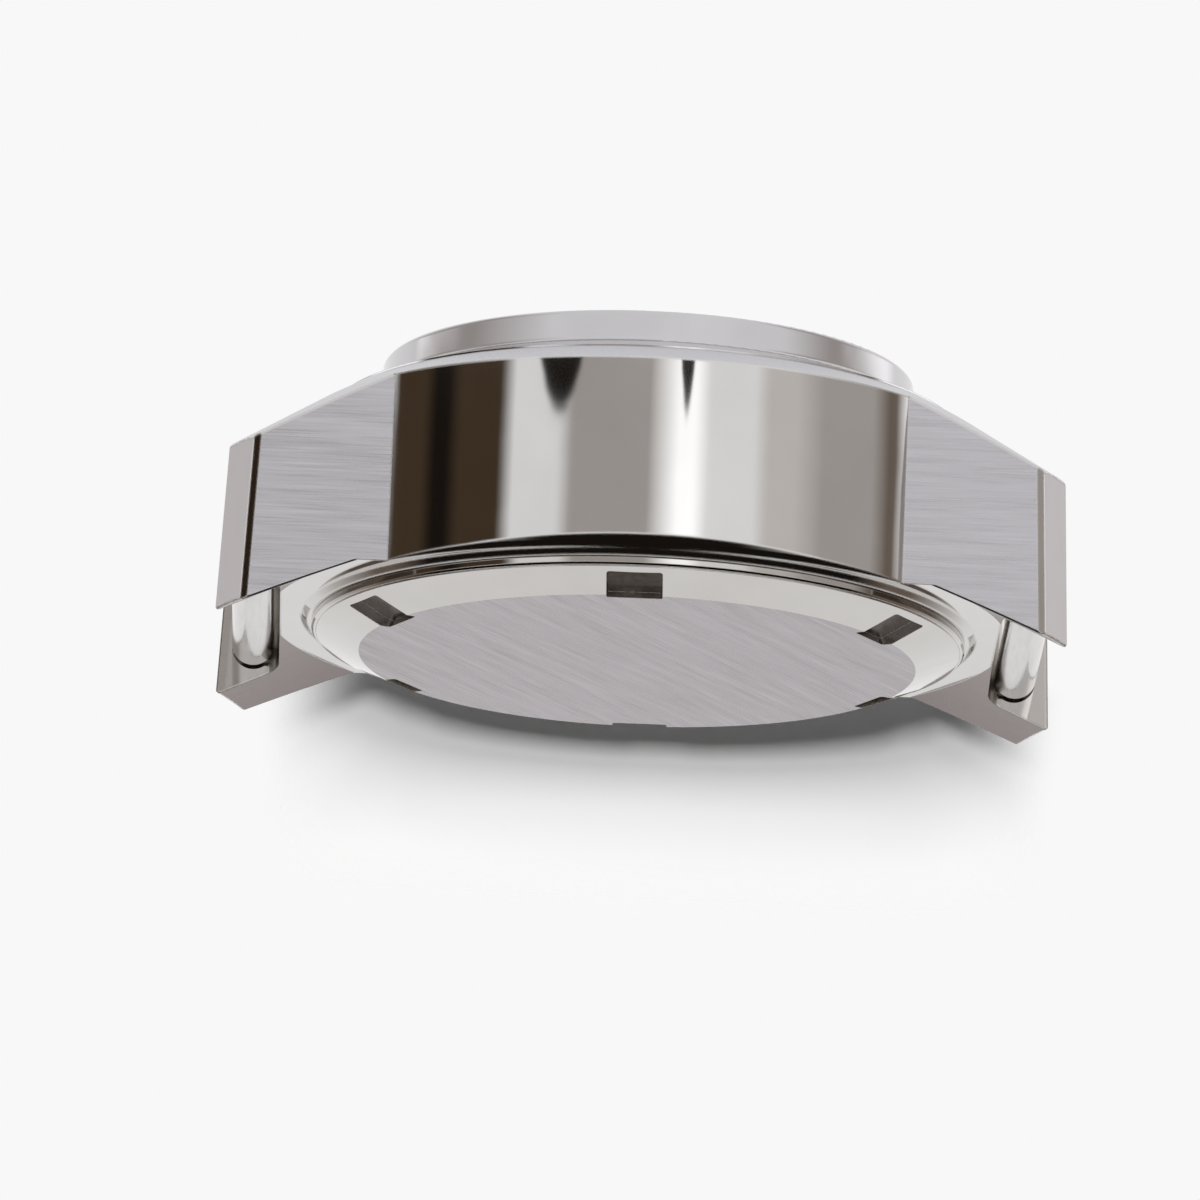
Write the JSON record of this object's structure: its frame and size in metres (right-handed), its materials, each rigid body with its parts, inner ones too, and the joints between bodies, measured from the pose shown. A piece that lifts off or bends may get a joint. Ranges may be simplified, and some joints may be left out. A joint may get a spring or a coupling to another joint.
{
  "type": "empty watch case",
  "caption": "Empty wristwatch case: round steel case middle with four straight lugs, smooth raised bezel, screw back with wrench pockets, screw crown and spring bars.",
  "frame": {"origin": "centre of the case back's flat disc face", "axes": "+Z along the dial axis, out of the crystal; +X along the line of the strap, from 12 o'clock to 6 o'clock; +Y out through the crown"},
  "size_m": [0.0472, 0.0435, 0.0173],
  "materials": {
    "case_steel": "polished flanks, brushed lugs",
    "bezel_steel": "polished",
    "back_steel": "brushed disc, polished cone",
    "crown_steel": "polished",
    "tube_steel": "turned",
    "bar_steel": "polished",
    "spring_steel": "drawn wire",
    "rehaut_steel": "satin",
    "crystal": "clear",
    "crystal_seal": "matte",
    "seal_rubber": "matte"
  },
  "bodies": {
    "case": {"mid_case": "case_steel", "bezel": "bezel_steel", "crystal": "crystal", "crystal_seal": "crystal_seal", "rehaut": "rehaut_steel", "crown_tube": "tube_steel", "tube_seal": "seal_rubber"},
    "back_seal": {"back_seal": "seal_rubber"},
    "case_back": {"case_back": "back_steel"},
    "crown_post": {"crown_post": "tube_steel"},
    "crown": {"crown": "crown_steel", "crown_seal": "seal_rubber", "crown_washer": "tube_steel", "crown_spring": "spring_steel"},
    "bar_12": {"bar_12": "bar_steel", "bar_12_spring": "spring_steel"},
    "bar_12_pin_near": {"bar_12_pin_near": "bar_steel"},
    "bar_12_pin_far": {"bar_12_pin_far": "bar_steel"},
    "bar_6": {"bar_6": "bar_steel", "bar_6_spring": "spring_steel"},
    "bar_6_pin_near": {"bar_6_pin_near": "bar_steel"},
    "bar_6_pin_far": {"bar_6_pin_far": "bar_steel"}
  },
  "joints": [
    {"name": "back_lift", "type": "slide", "parent": "case", "child": "back_seal", "axis": [0, 0, -1], "range_m": [0, 0.0024]},
    {"name": "back_turn", "type": "hinge", "parent": "back_seal", "child": "case_back", "pos_m": [0, 0, 0], "axis": [0, 0, -1], "range_deg": [0, 1152]},
    {"name": "crown_lift", "type": "slide", "parent": "case", "child": "crown_post", "axis": [0, 1, 0], "range_m": [0, 0.00175]},
    {"name": "crown_turn", "type": "hinge", "parent": "crown_post", "child": "crown", "pos_m": [0, 0.0215, 0.0072], "axis": [0, 1, 0], "range_deg": [0, 1800]},
    {"name": "bar_12_roll", "type": "hinge", "parent": "case", "child": "bar_12", "pos_m": [-0.02165, 0, 0.00233], "axis": [0, 1, 0], "continuous": true},
    {"name": "bar_12_pin_near_in", "type": "slide", "parent": "bar_12", "child": "bar_12_pin_near", "axis": [0, 1, 0], "range_m": [0, 0.00095], "stiffness_N_per_m": 300, "springref_m": -0.003, "deforming": ["bar_12_spring"]},
    {"name": "bar_12_pin_far_in", "type": "slide", "parent": "bar_12", "child": "bar_12_pin_far", "axis": [0, -1, 0], "range_m": [0, 0.00095], "stiffness_N_per_m": 300, "springref_m": -0.003, "deforming": ["bar_12_spring"]},
    {"name": "bar_6_roll", "type": "hinge", "parent": "case", "child": "bar_6", "pos_m": [0.02165, 0, 0.00233], "axis": [0, 1, 0], "continuous": true},
    {"name": "bar_6_pin_near_in", "type": "slide", "parent": "bar_6", "child": "bar_6_pin_near", "axis": [0, 1, 0], "range_m": [0, 0.00095], "stiffness_N_per_m": 300, "springref_m": -0.003, "deforming": ["bar_6_spring"]},
    {"name": "bar_6_pin_far_in", "type": "slide", "parent": "bar_6", "child": "bar_6_pin_far", "axis": [0, -1, 0], "range_m": [0, 0.00095], "stiffness_N_per_m": 300, "springref_m": -0.003, "deforming": ["bar_6_spring"]}
  ],
  "couplings": [
    {"joint": "back_turn", "follows": "back_lift", "rad_per_m": 8377.6},
    {"joint": "crown_turn", "follows": "crown_lift", "rad_per_m": 17952}
  ]
}
